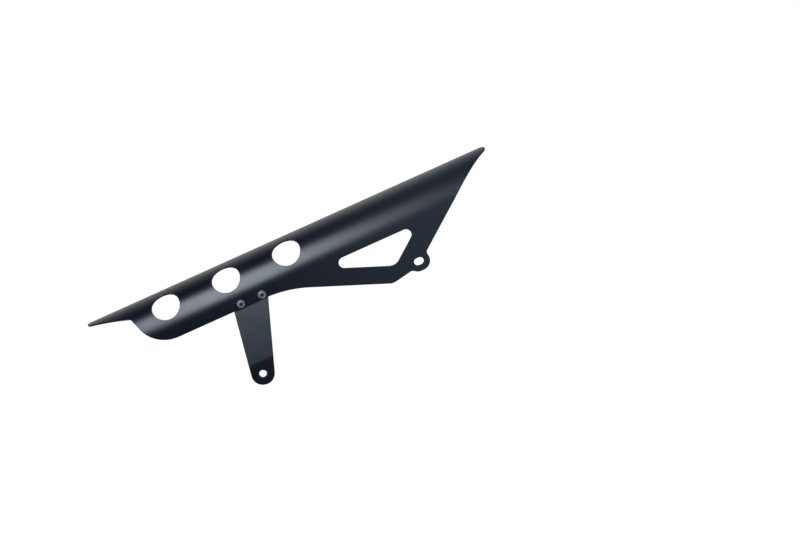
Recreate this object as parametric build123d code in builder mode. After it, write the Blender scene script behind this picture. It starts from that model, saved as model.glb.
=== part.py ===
"""Motorcycle chain guard: a rolled sheet shell on a joggled steel bracket, held by two screws.

Millimetres. +X runs along the guard towards the rear wheel, -Y faces outwards, +Z is up.
The origin is the bracket's bolt hole, on the face that seats against the swingarm.

The shell is one sheet, cut flat and then rolled. Its outline is given on that flat sheet by
two coordinates: x along the guard, and s up the sheet from the roll line. The roll line is where
the flat side plate turns into the roll, so s below zero is plate and s above zero is roll.
"""

import os
from math import asin, atan2, cos, degrees, hypot, radians, sin, sqrt, tan

from build123d import *

# Sheet and roll of the shell
sheet_t = 2.0
roll_r = 35.6
roll_turn = 90.0
roll_line_z = 87.0

# Nose: the long point at the front of the roll, and the step below it
nose_tip_x = -154.7
nose_angle = 22.0
nose_tip_r = 4.2
shoulder_x = -106.6
shoulder_r = 4.0
front_lean = 20.0
chin_r = 36.5

# Side plate: its straight lower edge, and the deeper rear part that ends in the heel
plate_drop = 11.3
belly_x = 62.7
belly_angle = 22.4
belly_r = 130.0
heel_run = 32.7
heel_rise = 10.5
heel_r = 15.0

# Tail: the slanting rear edge, up to the rear tip of the roll
tail_tip_x = 324.5
tail_angle = 38.75
tail_tip_r = 6.5

# Slotted mounting tab, placed from the corner between the heel's rise and the tail edge
slot_out = 2.9
slot_up = 5.1
slot_w = 8.4
slot_l = 11.0
tab_margin = 7.0
tab_blend_r = 5.0

# Three-cornered window, with a band of plate left along the belly edge and along the tail edge
window_top = 5.25
belly_band = 20.0
tail_band = 22.8
window_corner_r = 6.3
window_heel_r = 12.0

# Round holes cut in the roll
hole_d = 32.0
hole_count = 3
hole_first_x = -65.2
hole_pitch = 72.0
hole_rise = 26.9

# Bracket strap: a tapered flat bar with two opposite bends
strap_t = 3.0
joggle = 10.0
bolt_hole_d = 8.4
strap_end_r = 13.0
strap_front_margin = 9.8
strap_rear_margin = 7.1
strap_top_gap = 0.5
strap_corner_r = 4.0
upper_bend_gap = 0.8
upper_bend_r = 5.0
lower_bend_z = 13.4
lower_bend_r = 25.0

# Screws that hold the shell to the bracket
screw_d = 5.0
screw_tail = 1.0
screw_mid_x = 23.55
screw_pitch = 25.0
screw_rise = 5.5
screw_clearance = 0.5
head_d = 9.5
head_h = 2.75
head_rim_h = 0.5
head_flat_d = 4.4
head_dome_r = 4.0
socket_af = 3.0
socket_depth = 1.6

# Washers and lock nuts behind the bracket
washer_d = 10.0
washer_clearance = 0.3
washer_t = 1.0
insert_wall = 0.6
insert_h = 1.2
collar_wall = 0.5
collar_chamfer = 0.4
hex_step = 0.4
nut_h = 5.0
nut_hex_h = 3.6
nut_chamfer = 30.0

# Shared places: the sheet's faces, the roll's axis and the screw row
plate_back_y = joggle - strap_t
plate_face_y = plate_back_y - sheet_t
roll_axis_y = plate_face_y + roll_r
plate_foot_z = roll_line_z - plate_drop
screw_z = plate_foot_z + screw_rise
plate_plane = Plane((0, plate_face_y, roll_line_z), x_dir=(1, 0, 0), z_dir=(0, -1, 0))
screw_hole_d = screw_d + screw_clearance
screw_places = [(screw_mid_x + side * screw_pitch / 2, screw_z) for side in (-1, 1)]


def meet(p, p_angle, q, q_angle):
    """The point where two lines cross, each given by a point and its angle above +X."""
    p_slope = tan(radians(p_angle))
    q_slope = tan(radians(q_angle))
    x = (q[1] - p[1] + p_slope * p[0] - q_slope * q[0]) / (p_slope - q_slope)
    return (x, p[1] + p_slope * (x - p[0]))


def point_beyond(tip_r, angle):
    """How far a sharp corner of this angle reaches past the same corner rounded to tip_r."""
    return tip_r / tan(radians(angle / 2)) - tip_r


# Corners of the flat sheet, as (x, s), before they are rounded
back_edge_s = roll_r * radians(roll_turn)
nose = (nose_tip_x - point_beyond(nose_tip_r, nose_angle), back_edge_s)
shoulder = (shoulder_x, back_edge_s - (shoulder_x - nose[0]) * tan(radians(nose_angle)))
chin = (shoulder_x + (shoulder[1] + plate_drop) * tan(radians(front_lean)), -plate_drop)
belly = (belly_x, -plate_drop)
tail = (tail_tip_x + point_beyond(tail_tip_r, tail_angle), back_edge_s)
heel_step = heel_run * tan(radians(heel_rise))
heel = meet(belly, -belly_angle, (tail[0] - heel_run, tail[1] - heel_step), tail_angle)
tail_foot = (heel[0] + heel_run, heel[1] + heel_step)
guard_l = tail[0] - nose[0]
cover = 2 * guard_l

# Corners of the window: its floor is parallel to the belly edge, its rear side to the tail edge
window_roof = (belly_x, -window_top)
window_floor = (belly_x, -plate_drop + belly_band / cos(radians(belly_angle)))
window_side = (tail[0] - tail_band / sin(radians(tail_angle)), back_edge_s)
window_corners = [
    meet(window_roof, 0, window_floor, -belly_angle),
    meet(window_floor, -belly_angle, window_side, tail_angle),
    meet(window_roof, 0, window_side, tail_angle),
]

# Flat sheet, cut to its outline before it is rolled
slot_place = (tail_foot[0] + slot_out, tail_foot[1] + slot_up)
slot_reach = slot_l - slot_w
touching = 0.001

with BuildSketch() as blank:
    with BuildLine() as outline:
        FilletPolyline(
            nose, shoulder, chin, belly, heel, tail_foot, tail,
            radius=[nose_tip_r, shoulder_r, chin_r, belly_r, heel_r, 0, tail_tip_r],
            close=True,
        )
    make_face()
    with Locations(slot_place):
        tab = SlotCenterToCenter(slot_reach, slot_w + 2 * tab_margin)
    tab_joints = [
        corner
        for corner in blank.vertices()
        if corner.distance_to(tab.wire()) < touching and corner.distance_to(outline.wire()) < touching
    ]
    fillet(tab_joints, tab_blend_r)
    with Locations(slot_place):
        SlotCenterToCenter(slot_reach, slot_w, mode=Mode.SUBTRACT)
    with BuildLine():
        FilletPolyline(
            *window_corners,
            radius=[window_corner_r, window_heel_r, window_corner_r],
            close=True,
        )
    make_face(mode=Mode.SUBTRACT)
    with Locations([(x, z - roll_line_z) for x, z in screw_places]):
        Circle(screw_hole_d / 2, mode=Mode.SUBTRACT)
    with Locations([(hole_first_x + hole * hole_pitch, hole_rise) for hole in range(hole_count)]):
        Circle(hole_d / 2, mode=Mode.SUBTRACT)

# The part of the sheet above the roll line, which is rolled
with BuildSketch() as rolled_part:
    add(blank.sketch)
    Rectangle(cover, cover, align=(Align.CENTER, Align.MAX), mode=Mode.SUBTRACT)
rolled_outline = rolled_part.face().outer_wire().order_edges()
rolled_holes = rolled_part.face().inner_wires()

# Cutting planes of the roll: square to the middle of its turn, below and above the sheet
half_turn = radians(roll_turn) / 2
middle_plane = Plane(
    (0, roll_axis_y, roll_line_z), x_dir=(1, 0, 0), z_dir=(0, -cos(half_turn), sin(half_turn))
)
cut_over = 1.0
low_cut = (roll_r - sheet_t) * cos(half_turn) - cut_over
high_cut = roll_r + cut_over
edge_points = 8
rim_points = 24


def on_cut(point, height):
    """Image of a flat point on the cutting plane at this height, seen from the roll's axis."""
    return (point.X, height * tan(point.Y / roll_r - half_turn))


# Guard shell
with BuildPart() as guard_shell:
    # Roll: a round wall, longer and turned further than the sheet
    spare_turn = degrees(cut_over / roll_r)
    with BuildSketch(Plane.YZ.offset(nose[0] - cut_over)):
        with BuildLine():
            outer, inner = [
                CenterArc((roll_axis_y, roll_line_z), r, 180 + spare_turn, -roll_turn - 2 * spare_turn)
                for r in (roll_r, roll_r - sheet_t)
            ]
            Line(outer @ 0, inner @ 0)
            Line(outer @ 1, inner @ 1)
        make_face()
    extrude(amount=guard_l + 2 * cut_over)

    # Its outline: every line through the sheet's edge points at the roll's axis
    for height in (low_cut, high_cut):
        with BuildSketch(middle_plane.offset(height)):
            with BuildLine():
                for edge in rolled_outline:
                    Spline([on_cut(edge @ (i / edge_points), height) for i in range(edge_points + 1)])
            make_face()
    loft(ruled=True, mode=Mode.INTERSECT)

    # Its round holes, cut in the same way
    for rim in rolled_holes:
        for height in (low_cut, high_cut):
            with BuildSketch(middle_plane.offset(height)):
                with BuildLine():
                    Spline(
                        [on_cut(rim @ (i / rim_points), height) for i in range(rim_points)],
                        periodic=True,
                    )
                make_face()
        loft(ruled=True, mode=Mode.SUBTRACT)

    # Side plate: the rest of the sheet, left flat
    with BuildSketch(plate_plane):
        add(blank.sketch)
        Rectangle(cover, cover, align=(Align.CENTER, Align.MIN), mode=Mode.SUBTRACT)
    extrude(amount=-sheet_t)

# Mount bracket: each side runs past its screw by a margin and is tangent to the round lower end
strap_top_z = roll_line_z - strap_top_gap
front_x = screw_places[0][0] - strap_front_margin
rear_x = screw_places[1][0] + strap_rear_margin
front_tilt = atan2(front_x, screw_z) + asin(strap_end_r / hypot(front_x, screw_z))
rear_tilt = atan2(rear_x, screw_z) - asin(strap_end_r / hypot(rear_x, screw_z))
front_top = (front_x + (strap_top_z - screw_z) * tan(front_tilt), strap_top_z)
rear_top = (rear_x + (strap_top_z - screw_z) * tan(rear_tilt), strap_top_z)
front_foot = (-strap_end_r * cos(front_tilt), strap_end_r * sin(front_tilt))
rear_foot = (strap_end_r * cos(rear_tilt), -strap_end_r * sin(rear_tilt))

with BuildPart() as mount_bracket:
    # Side view: a flat bar that leaves the plate's back and comes forward by the joggle
    with BuildSketch(Plane.YZ):
        with BuildLine():
            FilletPolyline(
                (plate_back_y, strap_top_z),
                (plate_back_y, plate_foot_z - upper_bend_gap),
                (-strap_t, lower_bend_z),
                (-strap_t, -strap_end_r),
                radius=[upper_bend_r, lower_bend_r + strap_t],
            )
            offset(amount=strap_t, side=Side.LEFT)
        make_face()
    extrude(amount=cover, both=True)

    # Front view: two leaning sides, the round end and the holes
    with BuildSketch(Plane.XZ):
        with BuildLine():
            Polyline(front_foot, front_top, rear_top, rear_foot)
            ThreePointArc(rear_foot, (0, -strap_end_r), front_foot)
        make_face()
        Circle(bolt_hole_d / 2, mode=Mode.SUBTRACT)
        with Locations(screw_places):
            Circle(screw_hole_d / 2, mode=Mode.SUBTRACT)
    extrude(amount=cover, both=True, mode=Mode.INTERSECT)
    top_corners = mount_bracket.edges().filter_by(Axis.Y).group_by(Axis.Z)[-1]
    fillet(top_corners, strap_corner_r)

# Fasteners, each made once along +Z from its seat and then placed on both screw axes
head_seats = [Plane((x, plate_face_y, z), x_dir=(1, 0, 0), z_dir=(0, 1, 0)) for x, z in screw_places]
washer_seats = [Plane((x, joggle, z), x_dir=(1, 0, 0), z_dir=(0, 1, 0)) for x, z in screw_places]
nut_seats = [seat.offset(washer_t) for seat in washer_seats]
screw_l = sheet_t + strap_t + washer_t + nut_h + screw_tail
insert_d = screw_d + 2 * insert_wall
collar_d = insert_d + 2 * collar_wall
nut_af = collar_d + 2 * hex_step
nut_corner_r = nut_af / sqrt(3)
corner_cut = (nut_corner_r - nut_af / 2) * tan(radians(nut_chamfer))

with BuildPart() as screw:
    with BuildSketch(Plane.XZ):
        with BuildLine():
            Polyline(
                (0, -head_h),
                (0, screw_l),
                (screw_d / 2, screw_l),
                (screw_d / 2, 0),
                (head_d / 2, 0),
                (head_d / 2, -head_rim_h),
            )
            RadiusArc((head_d / 2, -head_rim_h), (head_flat_d / 2, -head_h), head_dome_r)
            Line((head_flat_d / 2, -head_h), (0, -head_h))
        make_face()
    revolve(axis=Axis.Z)
    with BuildSketch(Plane.XY.offset(-head_h)):
        RegularPolygon(socket_af / 2, 6, major_radius=False)
    extrude(amount=socket_depth, mode=Mode.SUBTRACT)

with BuildPart() as bracket_screws:
    with Locations(*head_seats):
        add(screw.part)

with BuildPart() as screw_washers:
    with BuildSketch(*washer_seats):
        Circle(washer_d / 2)
        Circle((screw_d + washer_clearance) / 2, mode=Mode.SUBTRACT)
    extrude(amount=washer_t)

with BuildPart() as nut:
    # Hexagon with its corners turned off at both ends, and a round collar above it
    with BuildSketch():
        RegularPolygon(nut_af / 2, 6, major_radius=False)
    extrude(amount=nut_hex_h)
    with BuildSketch(Plane.XZ):
        with BuildLine():
            Polyline(
                (0, 0),
                (nut_af / 2, 0),
                (nut_corner_r, corner_cut),
                (nut_corner_r, nut_hex_h - corner_cut),
                (nut_af / 2, nut_hex_h),
                (0, nut_hex_h),
                close=True,
            )
        make_face()
    revolve(axis=Axis.Z, mode=Mode.INTERSECT)
    with BuildSketch(Plane.XY.offset(nut_hex_h)):
        Circle(collar_d / 2)
    extrude(amount=nut_h - nut_hex_h)
    chamfer(nut.faces().sort_by(Axis.Z)[-1].edges(), collar_chamfer)
    with BuildSketch():
        Circle(screw_d / 2)
    extrude(amount=nut_h, mode=Mode.SUBTRACT)
    with BuildSketch(Plane.XY.offset(nut_h - insert_h)):
        Circle(insert_d / 2)
    extrude(amount=insert_h, mode=Mode.SUBTRACT)

with BuildPart() as lock_nuts:
    with Locations(*nut_seats):
        add(nut.part)

with BuildPart() as insert:
    with BuildSketch(Plane.XY.offset(nut_h - insert_h)):
        Circle(insert_d / 2)
        Circle(screw_d / 2, mode=Mode.SUBTRACT)
    extrude(amount=insert_h)

with BuildPart() as nut_inserts:
    with Locations(*nut_seats):
        add(insert.part)

# One STEP file for each piece
guard_shell.part.label = "guard_shell"
mount_bracket.part.label = "mount_bracket"
bracket_screws.part.label = "bracket_screws"
screw_washers.part.label = "screw_washers"
lock_nuts.part.label = "lock_nuts"
nut_inserts.part.label = "nut_inserts"
os.makedirs("parts", exist_ok=True)
export_step(guard_shell.part, "parts/guard_shell.step")
export_step(mount_bracket.part, "parts/mount_bracket.step")
export_step(bracket_screws.part, "parts/bracket_screws.step")
export_step(screw_washers.part, "parts/screw_washers.step")
export_step(lock_nuts.part, "parts/lock_nuts.step")
export_step(nut_inserts.part, "parts/nut_inserts.step")
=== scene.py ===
# %% [markdown]
# # A motorcycle chain guard
# The guard is one aluminium sheet, cut flat and then rolled, and two screws hold it to a bent steel strap.
# The CAD model gives its size and its place, and this lesson gives it fine surfaces, finishes and light.
# Every shape is worked out with numpy in millimetres, in the frame of the CAD model, so that nothing has to
# be fitted afterwards. The origin is the strap's bolt hole, +X runs to the rear wheel and -Y faces outwards.

import bpy
import numpy as np
from mathutils import Matrix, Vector
from mathutils.geometry import delaunay_2d_cdt


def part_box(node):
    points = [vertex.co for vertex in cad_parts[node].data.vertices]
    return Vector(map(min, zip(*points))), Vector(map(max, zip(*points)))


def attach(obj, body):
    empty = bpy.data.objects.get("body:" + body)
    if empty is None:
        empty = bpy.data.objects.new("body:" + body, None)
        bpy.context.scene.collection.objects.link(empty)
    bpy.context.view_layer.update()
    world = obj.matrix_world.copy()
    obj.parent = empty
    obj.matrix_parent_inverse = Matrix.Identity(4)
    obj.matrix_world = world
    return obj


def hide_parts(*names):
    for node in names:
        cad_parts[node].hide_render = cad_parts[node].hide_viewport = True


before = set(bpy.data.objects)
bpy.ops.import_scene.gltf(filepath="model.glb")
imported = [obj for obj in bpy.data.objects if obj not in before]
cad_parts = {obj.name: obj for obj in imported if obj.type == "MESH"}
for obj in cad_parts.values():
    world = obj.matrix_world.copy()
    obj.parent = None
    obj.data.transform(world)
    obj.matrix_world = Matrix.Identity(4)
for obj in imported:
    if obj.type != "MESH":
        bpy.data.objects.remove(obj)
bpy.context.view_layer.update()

mm = 0.001


def box_of(node):
    """Lowest and highest corner of a CAD node, in millimetres."""
    return [np.array(corner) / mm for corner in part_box(node)]


print("CAD nodes:", sorted(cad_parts))


# %% [markdown]
# ## From arrays to a piece
# A mesh is only a list of points and a list of faces, so one helper can serve all the pieces. It takes whole
# arrays in millimetres, stores them in metres, names the piece after the CAD node it stands for and hides
# that node.
# Normals can be given as well. A surface with a formula knows its exact normals, and with those a rounded
# edge that is narrower than a pixel still shades cleanly, without a halo on the wide faces beside it. Where
# none are given, an edge is drawn sharp if its faces meet at more than the crease angle.

# %% One helper for all pieces
crease_angle = 32


def make_piece(node, slot, points, faces, normals=None):
    """Puts points and faces into a mesh that stands in for a CAD node, hides that node, and hangs the mesh on
    the root body.
    """
    mesh = bpy.data.meshes.new(node + "_fine")
    mesh.from_pydata((points * mm).tolist(), [], faces)
    mesh.shade_smooth()
    if normals is None:
        mesh.set_sharp_from_angle(angle=np.radians(crease_angle))
    else:
        mesh.normals_split_custom_set_from_vertices(normals.tolist())
    piece = bpy.data.objects.new(node + "_fine", mesh)
    bpy.context.scene.collection.objects.link(piece)
    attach(piece, "root")
    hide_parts(node)
    low, high = box_of(node)
    off = max(np.abs(points.min(axis=0) - low).max(), np.abs(points.max(axis=0) - high).max())
    print(f"{piece.name}: {len(points)} points, {len(faces)} faces, box within {off:.3f} mm of the CAD")
    return piece


def unit(vectors):
    """Each vector divided by its own length."""
    return vectors / np.linalg.norm(vectors, axis=-1, keepdims=True)


print("unit vector along 3, 4:", unit(np.array([3.0, 4.0])).tolist())


# %% [markdown]
# ## Drawing on the flat sheet
# The real sheet was cut flat, so its outline is drawn flat too, with x along the guard and s up the sheet
# from the line where the roll begins. Such an outline has only straight runs and arcs. Each arc could be
# drawn by hand, but it is simpler to list the sharp corners with their radii and to let one formula round
# them all.

# %% Straight runs and arcs
arc_points = 121


def arc(centre, radius, start, end):
    """Points on a circle between two angles in degrees: the centre plus radius times cosine and sine."""
    turn = np.radians(np.linspace(start, end, arc_points))
    return np.array(centre) + radius * np.stack([np.cos(turn), np.sin(turn)], axis=1)


def rounded(corners, radii):
    """Arcs that round the corners of a closed outline, as an array of corner, point and coordinate.

    An arc's centre lies on its corner's bisector, at the radius divided by the sine of half the corner. The
    arc starts on the side that comes in, and turns by what the corner leaves of half a turn.
    """
    corners = np.array(corners)
    radii = np.array(radii)[:, None]
    back = unit(np.roll(corners, 1, axis=0) - corners)
    ahead = unit(np.roll(corners, -1, axis=0) - corners)
    half = np.arccos(np.sum(back * ahead, axis=1, keepdims=True)) / 2
    centres = corners + unit(back + ahead) * radii / np.sin(half)
    spoke = corners + back * radii / np.tan(half) - centres
    side = np.sign(ahead[:, :1] * back[:, 1:] - ahead[:, 1:] * back[:, :1])
    turn = side * (np.pi - 2 * half) * np.linspace(0, 1, arc_points)
    x = np.cos(turn) * spoke[:, :1] - np.sin(turn) * spoke[:, 1:]
    s = np.sin(turn) * spoke[:, :1] + np.cos(turn) * spoke[:, 1:]
    return centres[:, None] + np.stack([x, s], axis=-1)


def evenly(outline, step):
    """A closed outline with its points one step apart, interpolated along its length."""
    closed = np.vstack([outline, outline[:1]])
    reach = np.append(0, np.cumsum(np.linalg.norm(np.diff(closed, axis=0), axis=1)))
    at = np.linspace(0, reach[-1], int(reach[-1] / step) + 1)[:-1]
    return np.stack([np.interp(at, reach, closed[:, 0]), np.interp(at, reach, closed[:, 1])], axis=1)


def meet(p, p_angle, q, q_angle):
    """Crossing of two lines, each given by a point and its angle above x."""
    p_slope = np.tan(np.radians(p_angle))
    q_slope = np.tan(np.radians(q_angle))
    x = (q[1] - p[1] + p_slope * p[0] - q_slope * q[0]) / (p_slope - q_slope)
    return np.array([x, p[1] + p_slope * (x - p[0])])


print("lines at 45 and 135 degrees meet at", np.round(meet((0, 0), 45, (2, 0), 135), 6).tolist())


# %% [markdown]
# ## A cut sheet with soft edges
# A sheet of metal is two faces and a cut edge that was deburred, so that the edge has a small round at both
# faces. Blender could give this with Solidify and Bevel, but a bevel across a hole's rim on a rolled face
# comes out uneven. Here the edge's section is a profile, carried along every rim, and the faces inside the
# rims are filled with a grid of points. The flat sheet then goes through a bending formula, which also gives
# the normals.

# %% Which points lie in the sheet
table_parts = 40


def inside(points, start, end):
    """True where a point lies in the sheet: a ray from it crosses the rims an odd number of times."""
    x, s = points[:, :1], points[:, 1:]
    level = (start[:, 1] > s) != (end[:, 1] > s)
    rise = np.where(start[:, 1] == end[:, 1], 1, end[:, 1] - start[:, 1])
    crossing = start[:, 0] + (s - start[:, 1]) * (end[:, 0] - start[:, 0]) / rise
    return np.sum(level & (x < crossing), axis=1) % 2 == 1


def in_parts(test, points):
    """Runs a test on a long array in parts, so that its tables stay small."""
    return np.concatenate([test(part) for part in np.array_split(points, table_parts)])


square = np.array([[0.0, 0.0], [2.0, 0.0], [2.0, 2.0], [0.0, 2.0]])
tried = np.array([[1.0, 1.0], [3.0, 1.0]])
print("inside a square:", inside(tried, square, np.roll(square, -1, axis=0)).tolist())

# %% The faces inside the rims
clear_share = 0.6
bow_mm = np.array([2000, 20000])
merge_mm = 1e-6


def fill_face(rim, border, after, grid):
    """Grid points of a flat face, and the triangles that join them to its border.

    The grid spans the rim's box, and points outside the border or too near to it are dropped. Which points
    to join is worked out on a slightly curved copy, where x gains s squared over one long length and s gains
    x squared over another. No run of border points is quite straight there, so no triangle comes out empty.
    """
    low, high = rim.min(axis=0), rim.max(axis=0)
    x, s = np.meshgrid(np.arange(low[0], high[0], grid[0]), np.arange(low[1], high[1], grid[1]))
    field = np.stack([x.ravel(), s.ravel()], axis=1)
    field = field[in_parts(lambda part: inside(part, border, border[after]), field)]
    gap = in_parts(lambda part: np.min(np.sum((part[:, None] - border) ** 2, axis=2), axis=1), field)
    field = field[gap > (clear_share * min(grid)) ** 2]

    known = np.vstack([border, field])
    curved = known + known[:, ::-1] ** 2 / bow_mm
    start, end = curved[:len(border)], curved[after]
    border_edges = np.stack([np.arange(len(border)), after], axis=1).tolist()
    found = delaunay_2d_cdt(curved.tolist(), border_edges, [], 0, merge_mm, True)
    origin = np.array([sources[0] for sources in found[3]])
    triangles = origin[np.array(found[2])]
    middles = curved[triangles].mean(axis=1)
    return field, triangles[in_parts(lambda part: inside(part, start, end), middles)]


print("points keep", clear_share, "of a grid step clear of the border")

# %% The section of the edge
quarter_rows = 6


def edge_profile(thickness, edge_r):
    """The edge's section from the outer face to the inner one: inset, depth, and how far it faces outwards.

    It is two quarter circles with the straight cut between them. At a turn on the first one, the inset is the
    radius times one less the sine, and the depth is the radius times one less the cosine.
    """
    quarter = np.linspace(0, np.pi / 2, quarter_rows)
    inset = edge_r * (1 - np.sin(np.append(quarter, quarter[::-1])))
    drop = edge_r * (1 - np.cos(quarter))
    depth = np.append(drop, thickness - drop[::-1])
    facing = np.append(np.cos(quarter), -np.cos(quarter[::-1]))
    return inset, depth, facing


print("an edge has", len(edge_profile(2.0, 0.3)[0]), "rows of points")

# %% The whole sheet
def neighbours(rims):
    """For closed rims laid end to end: the number of the point after each point, and of the one before."""
    sizes = np.array([len(rim) for rim in rims])
    first = np.repeat(np.cumsum(sizes) - sizes, sizes)
    size = np.repeat(sizes, sizes)
    own = np.arange(sizes.sum()) - first
    return first + (own + 1) % size, first + (own - 1) % size


def cut_sheet(outline, holes, thickness, edge_r, grid, bend):
    """A cut sheet as points, faces and normals.

    Its rims are the outline and the reversed holes, with the metal on their left, and the edge's profile is
    carried along them. bend(flat, depth) gives the place, the outward normal and the upward tangent of a flat
    point at a depth below the outer face.
    """
    rims = [outline] + [hole[::-1] for hole in holes]
    rim = np.vstack(rims)
    count = len(rim)
    index = np.arange(count)
    after, before = neighbours(rims)
    along = unit(rim[after] - rim[before])
    inward = np.stack([-along[:, 1], along[:, 0]], axis=1)

    # Edge: rows of the profile, from the outer face to the inner face
    inset, depth, facing = edge_profile(thickness, edge_r)
    rows = len(depth)
    flat = rim + inward * inset[:, None, None]
    place, normal, up = bend(flat, np.repeat(depth[:, None], count, axis=1))
    outward = -inward[:, :1] * np.array([1, 0, 0]) - inward[:, 1:] * up
    lean = facing[:, None, None]
    edge_normal = lean * normal + np.sqrt(1 - lean**2) * outward
    row = np.arange(rows - 1)[:, None] * count
    strips = np.stack([row + index, row + count + index, row + count + after, row + after], axis=-1)

    # Faces: the outer one joins the first row, and the inner one, turned over, joins the last row
    field, triangles = fill_face(rim, flat[0], after, grid)
    last_row = (rows - 1) * count
    outer = np.where(triangles < count, triangles, triangles + last_row)
    inner = np.where(triangles < count, triangles + last_row, outer + len(field))[:, ::-1]
    outer_place, outer_normal, _ = bend(field, np.zeros(len(field)))
    inner_place, inner_normal, _ = bend(field, np.full(len(field), thickness))

    points = np.vstack([place.reshape(-1, 3), outer_place, inner_place])
    normals = unit(np.vstack([edge_normal.reshape(-1, 3), outer_normal, -inner_normal]))
    faces = strips.reshape(-1, 4).tolist() + outer.tolist() + inner.tolist()
    return points, faces, normals


print("the point after each, on rims of 3 and 2:", neighbours([square[:3], square[:2]])[0].tolist())


# %% [markdown]
# ## Guard shell: its flat pattern
# The shell's length, the roll's radius and the roll line come from the CAD box of its node. The rest are the
# angles, radii and margins that a maker would write on the flat drawing: a long nose, a step below it, a
# straight lower edge, a deeper rear part that ends in the heel, and a slanting tail edge.

# %% Sizes on the flat drawing
shell_low, shell_high = box_of("guard_shell")
roll_r = shell_high[1] - shell_low[1]
roll_axis = np.array([shell_high[1], shell_high[2] - roll_r])
back_edge = roll_r * np.pi / 2
sheet_t = 2.0

nose_angle = 22.0
nose_r = 4.2
shoulder_x = -106.6
shoulder_r = 4.0
front_lean = 20.0
chin_r = 36.5
plate_drop = 11.3
belly_x = 62.7
belly_angle = 22.4
belly_r = 130.0
heel_run = 32.7
heel_rise = 10.5
heel_r = 15.0
foot_r = 0.5
tail_angle = 38.75
tail_r = 6.5
print(f"roll radius {roll_r:.2f} mm, back edge {back_edge:.2f} mm up the sheet")

# %% Corners of the sheet
def slope(angle):
    """Rise for each millimetre of run."""
    return np.tan(np.radians(angle))


def past_round(radius, angle):
    """How far a sharp corner reaches beyond the same corner with this radius."""
    return radius / slope(angle / 2) - radius


nose = np.array([shell_low[0] - past_round(nose_r, nose_angle), back_edge])
tail = np.array([shell_high[0] + past_round(tail_r, tail_angle), back_edge])
shoulder = np.array([shoulder_x, back_edge - (shoulder_x - nose[0]) * slope(nose_angle)])
chin = np.array([shoulder_x + (shoulder[1] + plate_drop) * slope(front_lean), -plate_drop])
belly = np.array([belly_x, -plate_drop])
heel_step = np.array([heel_run, heel_run * slope(heel_rise)])
heel = meet(belly, -belly_angle, tail - heel_step, tail_angle)
tail_foot = heel + heel_step
corners = [nose, shoulder, chin, belly, heel, tail_foot, tail]
corner_arcs = rounded(corners, [nose_r, shoulder_r, chin_r, belly_r, heel_r, foot_r, tail_r])
print("flat corners in mm:", np.round(corners, 1).tolist())


# %% [markdown]
# ## Guard shell: the tab, the window and the holes
# The rear tab is a round-ended plate about its slot, and two hollow blends lead into it from the heel and the
# tail edge. A blend's centre is where a line beside the edge crosses a circle about the tab's end. The
# window's floor is parallel to the lower edge and its rear side to the tail edge, so that two bands of even
# width remain. Booleans could cut all these, but as rims of one flat drawing they are rolled with the sheet.

# %% Tab and slot
slot_w = 8.4
slot_l = 11.0
tab_margin = 7.0
tab_r = slot_w / 2 + tab_margin
blend_r = 5.0
slot_from_foot = np.array([2.9, 5.1])
slot_centre = tail_foot + slot_from_foot
slot_half = np.array([(slot_l - slot_w) / 2, 0])
front_end, rear_end = slot_centre - slot_half, slot_centre + slot_half


def blend_centre(angle, end, way):
    """Centre of a hollow blend: along a line at blend_r to the right of an edge through the tail's foot, one
    way or the other, until it is tab_r plus blend_r from the tab's end."""
    line = np.array([np.cos(np.radians(angle)), np.sin(np.radians(angle))])
    beside = tail_foot + blend_r * np.array([line[1], -line[0]])
    near = np.dot(end - beside, line)
    square = np.sum((end - beside) ** 2)
    return beside + line * (near + way * np.sqrt(near**2 - square + (tab_r + blend_r) ** 2))


def bearing(a, b):
    """Angle in degrees of the line from a to b."""
    return np.degrees(np.arctan2(b[1] - a[1], b[0] - a[0]))


front_blend = blend_centre(heel_rise, front_end, -1)
rear_blend = blend_centre(tail_angle, rear_end, 1)
front_touch = bearing(front_blend, front_end)
rear_touch = bearing(rear_end, rear_blend)
tab = np.vstack([
    arc(front_blend, blend_r, heel_rise + 90, front_touch),
    arc(front_end, tab_r, front_touch + 180, 270),
    arc(rear_end, tab_r, -90, rear_touch),
    arc(rear_blend, blend_r, rear_touch + 180, tail_angle + 90),
])
slot_rim = np.vstack([arc(front_end, slot_w / 2, 90, 270), arc(rear_end, slot_w / 2, -90, 90)])
# The tab stands in the place of the arc at the tail's foot
shell_outline = np.vstack([corner_arcs[:5].reshape(-1, 2), tab, corner_arcs[6]])
print("slot centre in mm:", np.round(slot_centre, 1).tolist())
print("blends touch the tab at degrees:", round(front_touch), round(rear_touch))

# %% Window
window_top = 5.25
belly_band = 20.0
tail_band = 22.8
window_radii = [6.3, 12.0, 6.3]
roof = np.array([belly_x, -window_top])
floor_line = np.array([belly_x, -plate_drop + belly_band / np.cos(np.radians(belly_angle))])
rear_line = np.array([tail[0] - tail_band / np.sin(np.radians(tail_angle)), back_edge])
window_corners = [
    meet(roof, 0, floor_line, -belly_angle),
    meet(floor_line, -belly_angle, rear_line, tail_angle),
    meet(roof, 0, rear_line, tail_angle),
]
window_rim = rounded(window_corners, window_radii).reshape(-1, 2)
print("window corners in mm:", np.round(window_corners, 1).tolist())

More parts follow.
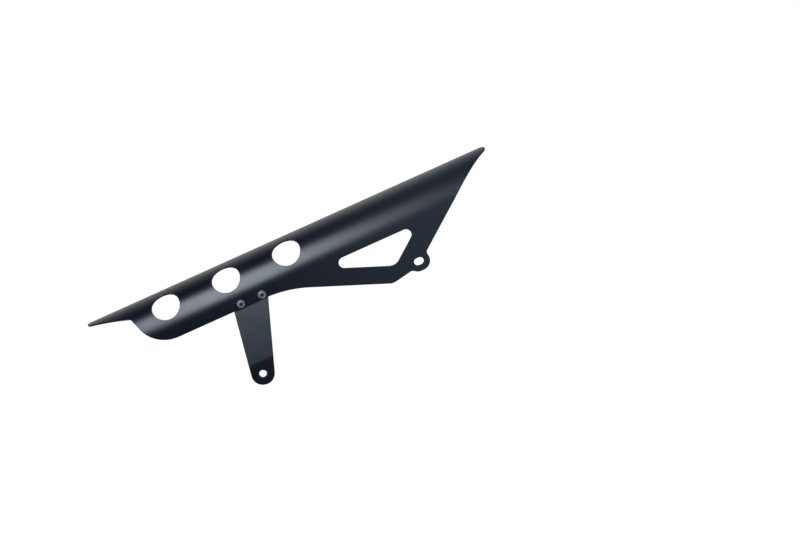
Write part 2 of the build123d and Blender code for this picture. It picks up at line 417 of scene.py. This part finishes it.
# %% Round holes and screw holes
hole_r = 16.0
hole_rise = 26.9
first_hole_x = -65.2
hole_pitch = 72.0
hole_x = first_hole_x + hole_pitch * np.arange(3)
screw_low, screw_high = box_of("bracket_screws")
head_r = (screw_high[2] - screw_low[2]) / 2
screw_x = np.array([screw_low[0] + head_r, screw_high[0] - head_r])
screw_z = (screw_low[2] + screw_high[2]) / 2
screw_hole_r = 2.75
round_rims = [arc((x, hole_rise), hole_r, 0, 360)[:-1] for x in hole_x]
screw_rims = [arc((x, screw_z - roll_axis[1]), screw_hole_r, 0, 360)[:-1] for x in screw_x]
shell_holes = [window_rim, slot_rim] + round_rims + screw_rims
print("screws at x, z in mm:", np.round(screw_x, 2).tolist(), round(screw_z, 2))


# %% [markdown]
# ## Guard shell: rolling the sheet
# Rolling keeps the lengths on the outer face. Above the roll line a height s on the sheet becomes the angle
# s divided by the roll's radius, and below it the sheet stays flat. A point deeper in the sheet lies on a
# smaller radius, so the walls of the round holes point at the roll's axis, as they do on a sheet that was
# cut first. A Simple Deform modifier bends too, but it would not stop at the roll line.

# %% Roll the shell
deburr_r = 0.35
rim_step = 0.8
shell_grid = (4.0, 1.6)


def roll(flat, depth):
    """Place, outward normal and upward tangent of the rolled sheet.

    The turn is s over the roll's radius, or zero on the plate. Seen along x, the place is the axis plus the
    radius less the depth, along the normal at that turn, and plate points go straight down from the roll
    line.
    """
    turn = np.maximum(flat[..., 1], 0) / roll_r
    below = np.minimum(flat[..., 1], 0)
    still = np.zeros_like(turn)
    normal = np.stack([still, -np.cos(turn), np.sin(turn)], axis=-1)
    up = np.stack([still, np.sin(turn), np.cos(turn)], axis=-1)
    radius = roll_r - depth
    y = roll_axis[0] + radius * normal[..., 1]
    z = roll_axis[1] + radius * normal[..., 2] + below
    return np.stack([flat[..., 0], y, z], axis=-1), normal, up


shell_rims = [evenly(rim, rim_step) for rim in [shell_outline] + shell_holes]
shell_sheet = cut_sheet(shell_rims[0], shell_rims[1:], sheet_t, deburr_r, shell_grid, roll)
guard_shell = make_piece("guard_shell", "anodised_shell", *shell_sheet)


# %% [markdown]
# ## Mount bracket
# The bracket is a flat steel bar, cut to a taper with a round lower end and bent twice in opposite ways, so
# that its lower end stands in front of the plate. The same sheet builder makes it, with another bending
# formula: how far forward each face stands is a function of the height, made of two bends, and a bend is an
# arc that runs over into a straight slope. A bevelled box could be bent by hand, but would not keep its
# thickness through the bends.

# %% Outline of the strap
strap_low, strap_high = box_of("mount_bracket")
strap_t = -strap_low[1]
strap_end_r = -strap_low[2]
strap_top = strap_high[2]
strap_top_r = 4.0
joggle = strap_high[1]
front_margin = 9.8
rear_margin = 7.1
bolt_hole_r = 4.2
front_side = screw_x[0] - front_margin
rear_side = screw_x[1] + rear_margin
front_tilt = np.arctan2(front_side, screw_z) + np.arcsin(strap_end_r / np.hypot(front_side, screw_z))
rear_tilt = np.arctan2(rear_side, screw_z) - np.arcsin(strap_end_r / np.hypot(rear_side, screw_z))
strap_corners = np.array([
    [-strap_end_r * np.cos(front_tilt), strap_end_r * np.sin(front_tilt)],
    [strap_end_r * np.cos(rear_tilt), -strap_end_r * np.sin(rear_tilt)],
    [rear_side + (strap_top - screw_z) * np.tan(rear_tilt), strap_top],
    [front_side + (strap_top - screw_z) * np.tan(front_tilt), strap_top],
])
# The two lower corners only touch the round end, so the arcs of the two upper ones are enough
strap_outline = np.vstack([
    arc((0, 0), strap_end_r, 180 - np.degrees(front_tilt), 360 - np.degrees(rear_tilt)),
    rounded(strap_corners, [strap_top_r] * 4)[2:].reshape(-1, 2),
])
strap_holes = [arc((0, 0), bolt_hole_r, 0, 360)[:-1]]
strap_holes += [arc((x, screw_z), screw_hole_r, 0, 360)[:-1] for x in screw_x]
print("strap corners in mm:", np.round(strap_corners, 1).tolist())

# %% The two bends
upper_r = 5.0
lower_r = 25.0
upper_gap = 0.8
upper_bend = roll_axis[1] - plate_drop - upper_gap
lower_bend = 13.4
strap_lean = np.arctan(joggle / (upper_bend - lower_bend))
near_mm = 0.05


def forward(z, corner, radius):
    """How far a face has come forward below one bend: radius less the root of radius squared less drop
    squared on the arc, and the tangent of the lean for each millimetre after it."""
    drop = corner + radius * np.tan(strap_lean / 2) - z
    arc_drop = radius * np.sin(strap_lean)
    on_arc = radius - np.sqrt(radius**2 - np.clip(drop, 0, arc_drop) ** 2)
    return on_arc + np.maximum(drop - arc_drop, 0) * np.tan(strap_lean)


def strap_y(z, depth):
    """How far back a point of the strap stands, between its front face and its back face."""
    shift = strap_t * np.tan(strap_lean / 2)
    front_low, back_low = forward(z, lower_bend, lower_r + strap_t), forward(z, lower_bend - shift, lower_r)
    front = joggle - strap_t - forward(z, upper_bend, upper_r) + front_low
    back = joggle - forward(z, upper_bend - shift, upper_r + strap_t) + back_low
    return front + depth / strap_t * (back - front)


def joggled(flat, depth):
    """Place, outward normal and upward tangent of the bent strap, with its slope from two near heights."""
    x, z = flat[..., 0], flat[..., 1]
    lean = (strap_y(z + near_mm, depth) - strap_y(z - near_mm, depth)) / (2 * near_mm)
    still = np.zeros_like(lean)
    normal = unit(np.stack([still, still - 1, lean], axis=-1))
    up = unit(np.stack([still, lean, still + 1], axis=-1))
    return np.stack([x, strap_y(z, depth), z], axis=-1), normal, up


print(f"the strap leans by {np.degrees(strap_lean):.2f} degrees between its bends")

# %% Bend the strap
strap_deburr_r = 0.5
strap_hole_step = 0.6
strap_grid = (3.0, 1.5)
strap_rim = evenly(strap_outline, rim_step)
strap_hole_rims = [evenly(rim, strap_hole_step) for rim in strap_holes]
strap_sheet = cut_sheet(strap_rim, strap_hole_rims, strap_t, strap_deburr_r, strap_grid, joggled)
mount_bracket = make_piece("mount_bracket", "painted_bracket", *strap_sheet)


# %% [markdown]
# ## Turned pieces
# Screws, washers, nuts and inserts are turned about the screws' axes. A Screw modifier could spin a profile,
# but not a hexagon or a thread. So a turned piece is a grid here: rings along the profile by angles round the
# axis, where the radius may change with the angle. The ends of a solid piece are closed by a flat face, and a
# ring-shaped piece joins its last ring to its first.

# %% The turning helper
ring_points = 96
angles = np.linspace(0, 2 * np.pi, ring_points, endpoint=False)


def turned(node, slot, seat_y, radius, height, hollow):
    """Makes both copies of a turned piece. A point is the axis plus the ring's radius times cosine and sine
    of the angle, at the ring's height behind the seat."""
    radius, height = np.broadcast_arrays(radius, height)
    rings, count = radius.shape
    ring = np.arange(rings if hollow else rings - 1)[:, None] * count
    next_ring = (ring + count) % (rings * count)
    index = np.arange(count)
    after = (index + 1) % count
    quads = np.stack([ring + index, next_ring + index, next_ring + after, ring + after], axis=-1)
    quads = quads.reshape(-1, 4)
    ends = [] if hollow else [index.tolist(), (index + (rings - 1) * count)[::-1].tolist()]
    one = np.stack([radius * np.cos(angles), seat_y + height, screw_z + radius * np.sin(angles)], axis=-1)
    points = np.vstack([one.reshape(-1, 3) + [x, 0, 0] for x in screw_x])
    second = rings * count
    faces = quads.tolist() + (quads + second).tolist() + ends
    faces += [[corner + second for corner in end] for end in ends]
    piece = make_piece(node, slot, points, faces)
    ring_mm = piece.data.attributes.new("ring_mm", "FLOAT", "POINT")
    ring_mm.data.foreach_set("value", np.tile(radius.ravel(), 2))
    return piece


def hexagon(across_flats):
    """Radius of a hexagon with corners on the x axis: half its width over flats, divided by the cosine of the
    angle to the nearest flat's middle."""
    return across_flats / 2 / np.cos(angles % (np.pi / 3) - np.pi / 6)


def steps(*pairs):
    """Profile points as a column of radii and a column of heights."""
    table = np.array(pairs, float)
    return table[:, :1], table[:, 1:]


print(f"a hexagon 8 mm over flats is {2 * hexagon(8).max():.2f} mm over corners")


# %% [markdown]
# ## Button-head screws
# An M5 button head is a low dome with a hexagon socket, formed cold from wire, and the thread is rolled on. A
# Boolean could cut the socket, but it leaves long thin faces that shade badly. The rings start at the
# socket's floor, climb its six walls, cross the small flat, run down the dome and go along the thread. The
# thread is a helix: the radius falls and rises with the height, and the wave moves on by one pitch in each
# turn.

# %% Screw heads
plate_face = roll_axis[0] - roll_r
head_h = plate_face - screw_low[1]
screw_r = 2.5
socket_af = 3.0
socket_depth = 1.6
floor_round = 0.12
mouth_break = 0.2
flat_r = 2.2
dome_r = 4.0
dome_stride = 8
rim_h = 0.5
rim_break = 0.15

chord = np.array([flat_r - head_r, rim_h - head_h])
middle = np.array([head_r + flat_r, -rim_h - head_h]) / 2
across = np.array([chord[1], -chord[0]]) / np.linalg.norm(chord)
dome_centre = middle + across * np.sqrt(dome_r**2 - np.sum(chord**2) / 4)
dome_start = bearing(dome_centre, (flat_r, -head_h))
dome_end = bearing(dome_centre, (head_r, -rim_h))
dome = arc(dome_centre, dome_r, dome_start, dome_end)[::dome_stride]

socket = hexagon(socket_af)
mouth = [
    (socket - floor_round, -head_h + socket_depth),
    (socket, -head_h + socket_depth - floor_round),
    (socket, -head_h + mouth_break),
    (socket + mouth_break, -head_h),
]
head_r_rows, head_h_rows = steps(*dome, (head_r, -rim_break), (head_r - rim_break, 0), (screw_r, 0))
print(f"head {2 * head_r:.2f} mm across and {head_h:.2f} mm high, {len(dome)} rings on its dome")

# %% Screw threads
screw_l = screw_high[1] - plate_face
pitch = 0.8
thread_depth = 0.42
rings_per_pitch = 10
thread_start = 0.1
thread_stop = 0.05
run_out_l = 0.6
run_out_drop = 0.5
end_r = 1.8
thread_h = np.arange(thread_start, screw_l - thread_stop, pitch / rings_per_pitch)[:, None]
wave = np.abs((thread_h / pitch - angles / (2 * np.pi)) % 1 - 0.5) * 2
run_out = np.clip((screw_l - thread_h) / run_out_l, 0, 1)
thread = screw_r - thread_depth * (1 - wave) - run_out_drop * (1 - run_out)
screw_radius = np.vstack([*[row for row, _ in mouth], head_r_rows + 0 * angles, thread, end_r + 0 * angles])
screw_height = np.vstack([*[[h] for _, h in mouth], head_h_rows, thread_h, [screw_l]])
bracket_screws = turned("bracket_screws", "stainless_screws", plate_face, screw_radius, screw_height, False)
# Painted shade: the socket's rings are marked so that their colour turns dark grey, for the shade inside the
# recess
socket_painted_shade = np.zeros(screw_radius.shape)
socket_painted_shade[:len(mouth)] = 1
socket_shade = bracket_screws.data.attributes.new("socket_painted_shade", "FLOAT", "POINT")
socket_shade.data.foreach_set("value", np.tile(socket_painted_shade.ravel(), 2))

# %% [markdown]
# ## Washers, lock nuts and inserts
# Behind the strap sit a stamped washer, a hexagon lock nut and, in the nut's collar, a ring of nylon that
# grips the thread. The punch rolls the washer's edge over on one side. The nut's faces are a hexagon cut by a
# cone at each end. Two Booleans could cut them, but the radius is simply the smaller of the two, and that
# alone draws the curved edges that real nuts have on their flats.

# %% Washers
washer_t = box_of("screw_washers")[1][1] - joggle
washer_in, washer_out = 2.65, 5.0
punch_roll, punch_mid = 0.3, 0.09
bore_roll = 0.15
burr_break = 0.1
washer_r, washer_h = steps(
    (washer_in, bore_roll),
    (washer_in + bore_roll, 0),
    (washer_out - burr_break, 0),
    (washer_out, burr_break),
    (washer_out, washer_t - punch_roll),
    (washer_out - punch_mid, washer_t - punch_mid),
    (washer_out - punch_roll, washer_t),
    (washer_in + burr_break, washer_t),
    (washer_in, washer_t - burr_break),
)
screw_washers = turned("screw_washers", "stainless_washers", joggle, washer_r + 0 * angles, washer_h, True)

# %% Lock nuts
nut_seat = joggle + washer_t
nut_h = box_of("lock_nuts")[1][1] - nut_seat
hex_h = 3.6
hex_rows = 41
nut_af = 8.0
cone_angle = 30
bore_break = 0.4
collar_r = 3.6
collar_fillet = 0.15
lip_roll, lip_mid = 0.4, 0.12
insert_r = 3.1
insert_h = 1.2
side_h = np.linspace(0, hex_h, hex_rows)[:, None]
cone = nut_af / 2 + np.minimum(side_h, hex_h - side_h) / slope(cone_angle)
sides = np.minimum(hexagon(nut_af), cone)
bore_r, bore_h = steps((screw_r, bore_break), (screw_r + bore_break, 0))
collar_rows_r, collar_rows_h = steps(
    (collar_r + collar_fillet, hex_h),
    (collar_r, hex_h + collar_fillet),
    (collar_r, nut_h - lip_roll),
    (collar_r - lip_mid, nut_h - lip_mid),
    (collar_r - lip_roll, nut_h),
    (insert_r, nut_h),
    (insert_r, nut_h - insert_h),
    (screw_r, nut_h - insert_h),
)
nut_radius = np.vstack([bore_r + 0 * angles, sides, collar_rows_r + 0 * angles])
nut_height = np.vstack([bore_h, side_h, collar_rows_h])
lock_nuts = turned("lock_nuts", "stainless_nuts", nut_seat, nut_radius, nut_height, True)

# %% Nylon inserts
insert_break = 0.08
insert_mouth = 0.2
insert_rows_r, insert_rows_h = steps(
    (screw_r, nut_h - insert_h),
    (insert_r, nut_h - insert_h),
    (insert_r, nut_h - insert_break),
    (insert_r - insert_break, nut_h),
    (screw_r + insert_mouth, nut_h),
    (screw_r, nut_h - insert_mouth),
)
insert_radius = insert_rows_r + 0 * angles
nut_inserts = turned("nut_inserts", "nylon_inserts", nut_seat, insert_radius, insert_rows_h, True)


# %% [markdown]
# ## Finishes
# Colours are written as sRGB hex values, as a paint chart gives them, and one function turns them to the
# linear values that the shader works with. A second function adds a node with its settings, values and
# links. Nodes could also be placed by hand in the editor, but code keeps their real sizes beside them. A Mix
# node lists its inputs by type, so its colours are inputs 6 and 7, and the mixed colour is output 2.

# %% Colour and node helpers
def linear(hex_colour):
    """sRGB hex to linear: near black a share over 12.92, and above that a power of 2.4."""
    part = np.array([int(hex_colour[i:i + 2], 16) for i in (1, 3, 5)]) / 255
    value = np.where(part <= 0.04045, part / 12.92, ((part + 0.055) / 1.055) ** 2.4)
    return (*value.tolist(), 1.0)


def add(tree, kind, inputs, **settings):
    """Adds a node, sets its properties, and gives each input a value or a link from another node's output."""
    made = tree.nodes.new(kind)
    for name, value in settings.items():
        setattr(made, name, value)
    for name, value in inputs.items():
        if isinstance(value, bpy.types.NodeSocket):
            tree.links.new(value, made.inputs[name])
        else:
            made.inputs[name].default_value = value
    return made


def new_finish(name, piece):
    """A new material on a piece. Returns its node tree, emptied, with its output node."""
    finish = bpy.data.materials.new(name)
    finish.use_nodes = True
    finish.node_tree.nodes.clear()
    piece.data.materials.append(finish)
    return finish.node_tree, add(finish.node_tree, "ShaderNodeOutputMaterial", {})


def per_metre(size_mm):
    """Noise scale for grains of about this size in millimetres."""
    return 1 / (size_mm * mm)


print("half grey #808080 in linear light:", round(linear("#808080")[0], 3))


# %% [markdown]
# ## Black anodised aluminium
# The sheet was blasted with fine beads and then anodised black. The film is dyed a cold blue-black, and the
# blasted ground under it spreads every reflection into a broad soft band. One dark colour would give the
# same black but a lifeless surface, so a faint cloud varies its dye and its gloss. The beads leave dents of
# about 0.1 mm, too fine to show here, so the grain is drawn at 0.9 mm and kept shallow.

# %% Finish of the shell
tree, out = new_finish("black_anodised_aluminium", guard_shell)
place = add(tree, "ShaderNodeTexCoord", {}).outputs["Object"]
grain = add(tree, "ShaderNodeTexNoise", {"Vector": place, "Scale": per_metre(0.9), "Detail": 2.0})
cloud = add(tree, "ShaderNodeTexNoise", {"Vector": place, "Scale": per_metre(25), "Detail": 3.0})
film = add(tree, "ShaderNodeMix", {
    0: cloud.outputs["Fac"], 6: linear("#020819"), 7: linear("#03091c"),
}, data_type="RGBA")
gloss = add(tree, "ShaderNodeMapRange", {
    "Value": cloud.outputs["Fac"], "From Min": 0.3, "From Max": 0.7, "To Min": 0.295, "To Max": 0.325,
})
bump = add(tree, "ShaderNodeBump", {"Height": grain.outputs["Fac"], "Strength": 0.25, "Distance": 0.02 * mm})
shader = add(tree, "ShaderNodeBsdfPrincipled", {
    "Base Color": film.outputs[2],
    "Roughness": gloss.outputs[0],
    "Normal": bump.outputs[0],
    # The film is aluminium oxide, with an IOR of 1.65 to 1.77, and its dye turns reflections a little blue
    "IOR": 1.7,
    "Specular Tint": (0.79, 0.895, 1.0, 1.0),
})
tree.links.new(shader.outputs[0], out.inputs["Surface"])
print("shell finish:", len(tree.nodes), "nodes")

# %% [markdown]
# ## Satin black paint
# The strap is steel with black paint. A sprayed coat dries with a faint skin like orange peel, with lumps of
# a millimetre or two, and it shines a little more than the anodised film. The peel could be modelled, but it
# is only some hundredths of a millimetre high, so a bump gives it.

# %% Finish of the bracket
tree, out = new_finish("satin_black_paint", mount_bracket)
place = add(tree, "ShaderNodeTexCoord", {}).outputs["Object"]
peel = add(tree, "ShaderNodeTexNoise", {"Vector": place, "Scale": per_metre(1.6), "Detail": 1.0})
cloud = add(tree, "ShaderNodeTexNoise", {"Vector": place, "Scale": per_metre(15), "Detail": 3.0})
coat = add(tree, "ShaderNodeMix", {
    0: cloud.outputs["Fac"], 6: linear("#020614"), 7: linear("#030716"),
}, data_type="RGBA")
gloss = add(tree, "ShaderNodeMapRange", {
    "Value": cloud.outputs["Fac"], "From Min": 0.3, "From Max": 0.7, "To Min": 0.295, "To Max": 0.325,
})
bump = add(tree, "ShaderNodeBump", {"Height": peel.outputs["Fac"], "Strength": 0.3, "Distance": 0.03 * mm})
shader = add(tree, "ShaderNodeBsdfPrincipled", {
    "Base Color": coat.outputs[2],
    "Roughness": gloss.outputs[0],
    "Normal": bump.outputs[0],
    # Paint has an IOR near 1.5, and it is raised here to match the shine of this coat
    "IOR": 1.87,
    "Specular Tint": (0.70, 0.845, 1.0, 1.0),
})
tree.links.new(shader.outputs[0], out.inputs["Surface"])
print("bracket finish:", len(tree.nodes), "nodes")

# %% [markdown]
# ## Stainless steel
# The fasteners are stainless steel: the screws dull, the washers stamped and the nuts bright, so that their
# lights run from soft and grey to clear. The screws' sockets are painted darker, a painted shade that stands
# for the shade inside the recess. The tool leaves fine rings about the axis. A wave texture could draw them,
# but each piece stores its distance from the screw's axis as the attribute ring_mm, and a sine of that fits
# any turned shape. Real tool marks are about 0.05 mm apart, too fine to show, so they are drawn at 0.3 mm.

# %% Finishes of screws, washers and nuts
mark_mm = 0.3
gloss_spread = 0.06
steel_pieces = [
    ("dull_stainless_screw", bracket_screws, "#999a9e", "#a5a6aa", 0.62),
    ("stamped_stainless_washer", screw_washers, "#9b9c9d", "#a9aaab", 0.42),
    ("bright_stainless_nut", lock_nuts, "#a3a4a5", "#b1b2b3", 0.36),
]
for name, piece, dark, light, roughness in steel_pieces:
    tree, out = new_finish(name, piece)
    place = add(tree, "ShaderNodeTexCoord", {}).outputs["Object"]
    ring = add(tree, "ShaderNodeAttribute", {}, attribute_name="ring_mm").outputs["Fac"]
    marks = add(tree, "ShaderNodeMath", {0: ring, 1: 2 * np.pi / mark_mm}, operation="MULTIPLY")
    marks = add(tree, "ShaderNodeMath", {0: marks.outputs[0]}, operation="SINE")
    scuff = add(tree, "ShaderNodeTexNoise", {"Vector": place, "Scale": per_metre(1.2), "Detail": 4.0})
    gloss = add(tree, "ShaderNodeMapRange", {
        "Value": scuff.outputs["Fac"], "From Min": 0.3, "From Max": 0.7,
        "To Min": roughness - gloss_spread, "To Max": roughness + gloss_spread,
    })
    metal = add(tree, "ShaderNodeMix", {
        0: scuff.outputs["Fac"], 6: linear(dark), 7: linear(light),
    }, data_type="RGBA").outputs[2]
    # Painted shade: in the socket the metal colour is mixed to dark grey, standing in for the shade of the
    # recess
    if piece is bracket_screws:
        hollow = add(tree, "ShaderNodeAttribute", {}, attribute_name="socket_painted_shade")
        metal = add(tree, "ShaderNodeMix", {
            0: hollow.outputs["Fac"], 6: metal, 7: linear("#3c3d40"),
        }, data_type="RGBA").outputs[2]
    bump = add(tree, "ShaderNodeBump", {"Height": marks.outputs[0], "Strength": 0.15, "Distance": 0.01 * mm})
    shader = add(tree, "ShaderNodeBsdfPrincipled", {
        "Base Color": metal,
        "Metallic": 1.0,
        "Roughness": gloss.outputs[0],
        "Normal": bump.outputs[0],
    })
    tree.links.new(shader.outputs[0], out.inputs["Surface"])
    print(f"{name}: {len(tree.nodes)} nodes")

# %% [markdown]
# ## Nylon
# The inserts are moulded nylon, dyed blue. Nylon lets some light into its surface and out again, which a
# plain diffuse colour would miss, so it has a little subsurface light, and a mould leaves faint mottles.

# %% Finish of the inserts
tree, out = new_finish("moulded_blue_nylon", nut_inserts)
place = add(tree, "ShaderNodeTexCoord", {}).outputs["Object"]
cloud = add(tree, "ShaderNodeTexNoise", {"Vector": place, "Scale": per_metre(0.8), "Detail": 2.0})
dye = add(tree, "ShaderNodeMix", {
    0: cloud.outputs["Fac"], 6: linear("#3a5a94"), 7: linear("#4467a4"),
}, data_type="RGBA")
bump = add(tree, "ShaderNodeBump", {"Height": cloud.outputs["Fac"], "Strength": 0.2, "Distance": 0.02 * mm})
shader = add(tree, "ShaderNodeBsdfPrincipled", {
    "Base Color": dye.outputs[2],
    "Roughness": 0.5,
    "IOR": 1.53,
    "Subsurface Weight": 0.2,
    "Subsurface Radius": (0.4 * mm, 0.4 * mm, 0.6 * mm),
    "Subsurface Scale": 1.0,
    "Normal": bump.outputs[0],
})
tree.links.new(shader.outputs[0], out.inputs["Surface"])
print("finishes:", [finish.name for finish in bpy.data.materials if finish.users])


# %% [markdown]
# ## Floor and background
# The guard hangs over a plain pale floor, far enough below it that its shadow falls out of the picture. The
# floor begins a little in front of the guard and runs far back. The world and the floor are white to the
# camera and in reflections. More lamps could make them white too, but they would also light the guard, so
# Light Path tells which rays see the background, and the world lights the guard at less than half of white.

# %% Floor
def stage_sheet(name, points, colour):
    """A stage object from a grid of points, with its own plain material. Returns it and its nodes."""
    rows, columns = points.shape[:2]
    index = np.arange(rows * columns).reshape(rows, columns)
    quads = np.stack([index[:-1, :-1], index[:-1, 1:], index[1:, 1:], index[1:, :-1]], axis=-1)
    mesh = bpy.data.meshes.new(name)
    mesh.from_pydata(points.reshape(-1, 3).tolist(), [], quads.reshape(-1, 4).tolist())
    sheet = bpy.data.objects.new(name, mesh)
    bpy.context.scene.collection.objects.link(sheet)
    tree, out = new_finish(name + "_surface", sheet)
    plain = add(tree, "ShaderNodeBsdfDiffuse", {"Color": linear(colour)})
    tree.links.new(plain.outputs[0], out.inputs["Surface"])
    return sheet, tree, plain, out


def seen_directly(tree):
    """One where a ray comes from the camera, or from a reflection or through glass, and zero elsewhere."""
    path = add(tree, "ShaderNodeLightPath", {}).outputs
    rays = {0: path["Is Camera Ray"], 1: path["Is Glossy Ray"]}
    seen = add(tree, "ShaderNodeMath", rays, operation="MAXIMUM")
    rays = {0: seen.outputs[0], 1: path["Is Transmission Ray"]}
    return add(tree, "ShaderNodeMath", rays, operation="MAXIMUM").outputs[0]


floor_z = -1.0
floor_glow = 0.65
x, y = np.meshgrid(np.linspace(-12, 12, 9), np.linspace(-0.4, 20, 9))
floor_points = np.stack([x, y, 0 * x + floor_z], axis=-1)
_, tree, plain, out = stage_sheet("pale_floor", floor_points, "#e8e8e6")
strength = add(tree, "ShaderNodeMath", {0: seen_directly(tree), 1: floor_glow}, operation="MULTIPLY")
glow = add(tree, "ShaderNodeEmission", {"Color": (1, 1, 1, 1), "Strength": strength.outputs[0]})
both = add(tree, "ShaderNodeAddShader", {0: plain.outputs[0], 1: glow.outputs[0]})
tree.links.new(both.outputs[0], out.inputs["Surface"])
print(f"floor {-floor_z:.1f} m below the bolt hole")

# %% World
world_light = 0.45
world = bpy.data.worlds.new("white_studio")
bpy.context.scene.world = world
world.use_nodes = True
tree = world.node_tree
tree.nodes.clear()
white = add(tree, "ShaderNodeBackground", {"Color": (1, 1, 1, 1), "Strength": 1.0})
soft = add(tree, "ShaderNodeBackground", {"Color": (1, 1, 1, 1), "Strength": world_light})
mix = add(tree, "ShaderNodeMixShader", {0: seen_directly(tree), 1: soft.outputs[0], 2: white.outputs[0]})
add(tree, "ShaderNodeOutputWorld", {"Surface": mix.outputs[0]})
print("the world lights the guard at", world_light, "of white")


# %% [markdown]
# ## The dark end of the studio
# A black satin surface is black only where it shows something dark, so a studio hangs dark cloth round it. A
# darker colour on the guard could not do that, because it changes no reflection. Two curtains stand on a
# cylinder about the roll's axis, and only reflections see them. The one behind the camera fades to the pale
# ceiling above the guard, which ends before the tail's tip, and to a pale strip on the right, like the light
# from a window. At both ends its hem comes down to the floor, so that the cut edges of nose and tail stay
# dark. The curtain behind the guard keeps the back black satin as well.

# %% How a curtain hangs
curtain_r = 1.3


def hang_curtain(name, turn_deg, along, radius, glow):
    """A curtain round the roll's axis, at a turn above the horizon and a place along x, seen in reflections.

    Its y is the axis less the radius times the cosine of the turn, its z is the axis plus the radius times
    the sine, and its glow is a colour for each point, from black to the white of the background.
    """
    turn = np.radians(turn_deg)
    y = roll_axis[0] * mm - radius * np.cos(turn)
    z = roll_axis[1] * mm + radius * np.sin(turn)
    curtain, tree, plain, out = stage_sheet(name, np.stack([along, y, z], axis=-1), "#060606")
    fade = curtain.data.attributes.new("fade", "FLOAT_COLOR", "POINT")
    fade.data.foreach_set("color", np.minimum(glow, 1).ravel())
    fade = add(tree, "ShaderNodeAttribute", {}, attribute_name="fade")
    glow = add(tree, "ShaderNodeEmission", {"Color": fade.outputs["Color"], "Strength": 1.0})
    both = add(tree, "ShaderNodeAddShader", {0: plain.outputs[0], 1: glow.outputs[0]})
    tree.links.new(both.outputs[0], out.inputs["Surface"])
    curtain.visible_camera = False
    curtain.visible_diffuse = False
    curtain.visible_shadow = False
    curtain.visible_transmission = False
    print(f"{name}: {len(curtain.data.polygons)} faces")


print("curtains hang at a radius of", curtain_r, "m")

# %% Curtain behind the camera
top_deg = 143
min_sine = 0.1
dark_until_deg = 96
hem_drop = 1.05
warm_white = np.array([1, 0.975, 0.95, 1])
cold_white = np.array([0.78, 0.88, 1, 1])
share, along = np.meshgrid(np.linspace(0, 1, 101), np.linspace(-1.9, 4.5, 129), indexing="ij")
# The hem hangs lower at both ends, and below the guard the radius is cut so that no point drops further
# than hem_drop, which ends just above the floor. min_sine only keeps the division away from zero.
hem_deg = np.interp(along, [-0.9, -0.5, 0.55, 1.2], [-95, -60, -60, -135])
turn_deg = hem_deg + share * (top_deg - hem_deg)
radius = np.minimum(curtain_r, hem_drop / np.maximum(-np.sin(np.radians(turn_deg)), min_sine))
ceiling = np.interp(turn_deg, [dark_until_deg, top_deg], [0, 1])
ceiling *= np.interp(along, [-0.4, 0.3, 0.42, 0.6], [0.8, 1.28, 0.43, 0])
window_side = np.interp(along, [0.06, 0.35, 0.46, 1.0, 1.7], [0, 0.95, 0.4, 0.35, 0.12])
window_side *= np.interp(turn_deg, [-20, 60], [1, 0.5])
glow = ceiling[..., None] * warm_white + window_side[..., None] * cold_white
hang_curtain("dark_curtain", turn_deg, along, radius, glow)

# %% Curtain behind the guard
turn_deg, along = np.meshgrid(np.linspace(168, 250, 42), np.linspace(-1.6, 1.6, 33), indexing="ij")
horizon = np.interp(turn_deg, [168, 205], [1, 0.2])
hang_curtain("rear_curtain", turn_deg, along, curtain_r, horizon[..., None] * np.ones(4))


# %% [markdown]
# ## Light
# One tall oval soft box, slightly warm, stands to the left of the camera and above it, and gives the broad
# band along the roll. A second lamp could fill the shadows, but the white world does that already. The top
# of the box leans to the left, so that the band runs on evenly to the nose.

# %% Lamp
def soft_box(name, place, aim, width, height, lean, watts):
    """An oval lamp at a place, facing a point, with its top leaning to the left by an angle in degrees."""
    lamp = bpy.data.lights.new(name, "AREA")
    lamp.shape = "ELLIPSE"
    lamp.size = width
    lamp.size_y = height
    lamp.energy = watts
    back = unit(np.array(place) - np.array(aim))
    level = unit(np.cross([0, 0, 1], back))
    right = np.cos(np.radians(lean)) * level + np.sin(np.radians(lean)) * np.cross(back, level)
    lamp_axes = np.stack([right, np.cross(back, right), back], axis=1)
    light = bpy.data.objects.new(name, lamp)
    light.visible_camera = False
    light.matrix_world = Matrix.Translation(place) @ Matrix(lamp_axes.tolist()).to_4x4()
    bpy.context.scene.collection.objects.link(light)
    return light


key = soft_box(
    "key_soft_box",
    place=(-0.105, -0.856, 0.668),
    aim=(0.05, 0.02, 0.09),
    width=0.402,
    height=1.079,
    lean=10.4,
    watts=7.25,
)
key.data.color = (1.0, 0.965, 0.965)
print(f"{key.name}: {key.data.size:.3f} by {key.data.size_y:.3f} m, {key.data.energy:.2f} W")

# %% [markdown]
# ## Camera
# The camera looks at the plate from a little above, turned about its own axis, so that the guard rises to the
# right. Its angles could be given as a rotation, but three axes worked out from elevation and tilt say more
# plainly where it looks.

# %% Camera
elevation = np.radians(16.5)
tilt = np.radians(24.22)
camera_place = (0.1859, -1.6785, 0.5442)
focal_mm = 72
sensor_mm = 36
level_right = np.array([1, 0, 0])
level_up = np.array([0, np.sin(elevation), np.cos(elevation)])
back = np.array([0, -np.cos(elevation), np.sin(elevation)])
right = np.cos(tilt) * level_right - np.sin(tilt) * level_up
up = np.sin(tilt) * level_right + np.cos(tilt) * level_up
lens = bpy.data.cameras.new("camera")
lens.lens = focal_mm
lens.sensor_width = sensor_mm
camera = bpy.data.objects.new("camera", lens)
camera_axes = Matrix(np.stack([right, up, back], axis=1).tolist()).to_4x4()
camera.matrix_world = Matrix.Translation(camera_place) @ camera_axes
bpy.context.scene.collection.objects.link(camera)
bpy.context.scene.camera = camera
bpy.context.scene.view_settings.view_transform = "Standard"
print("camera at", [round(v, 3) for v in camera.matrix_world.translation])
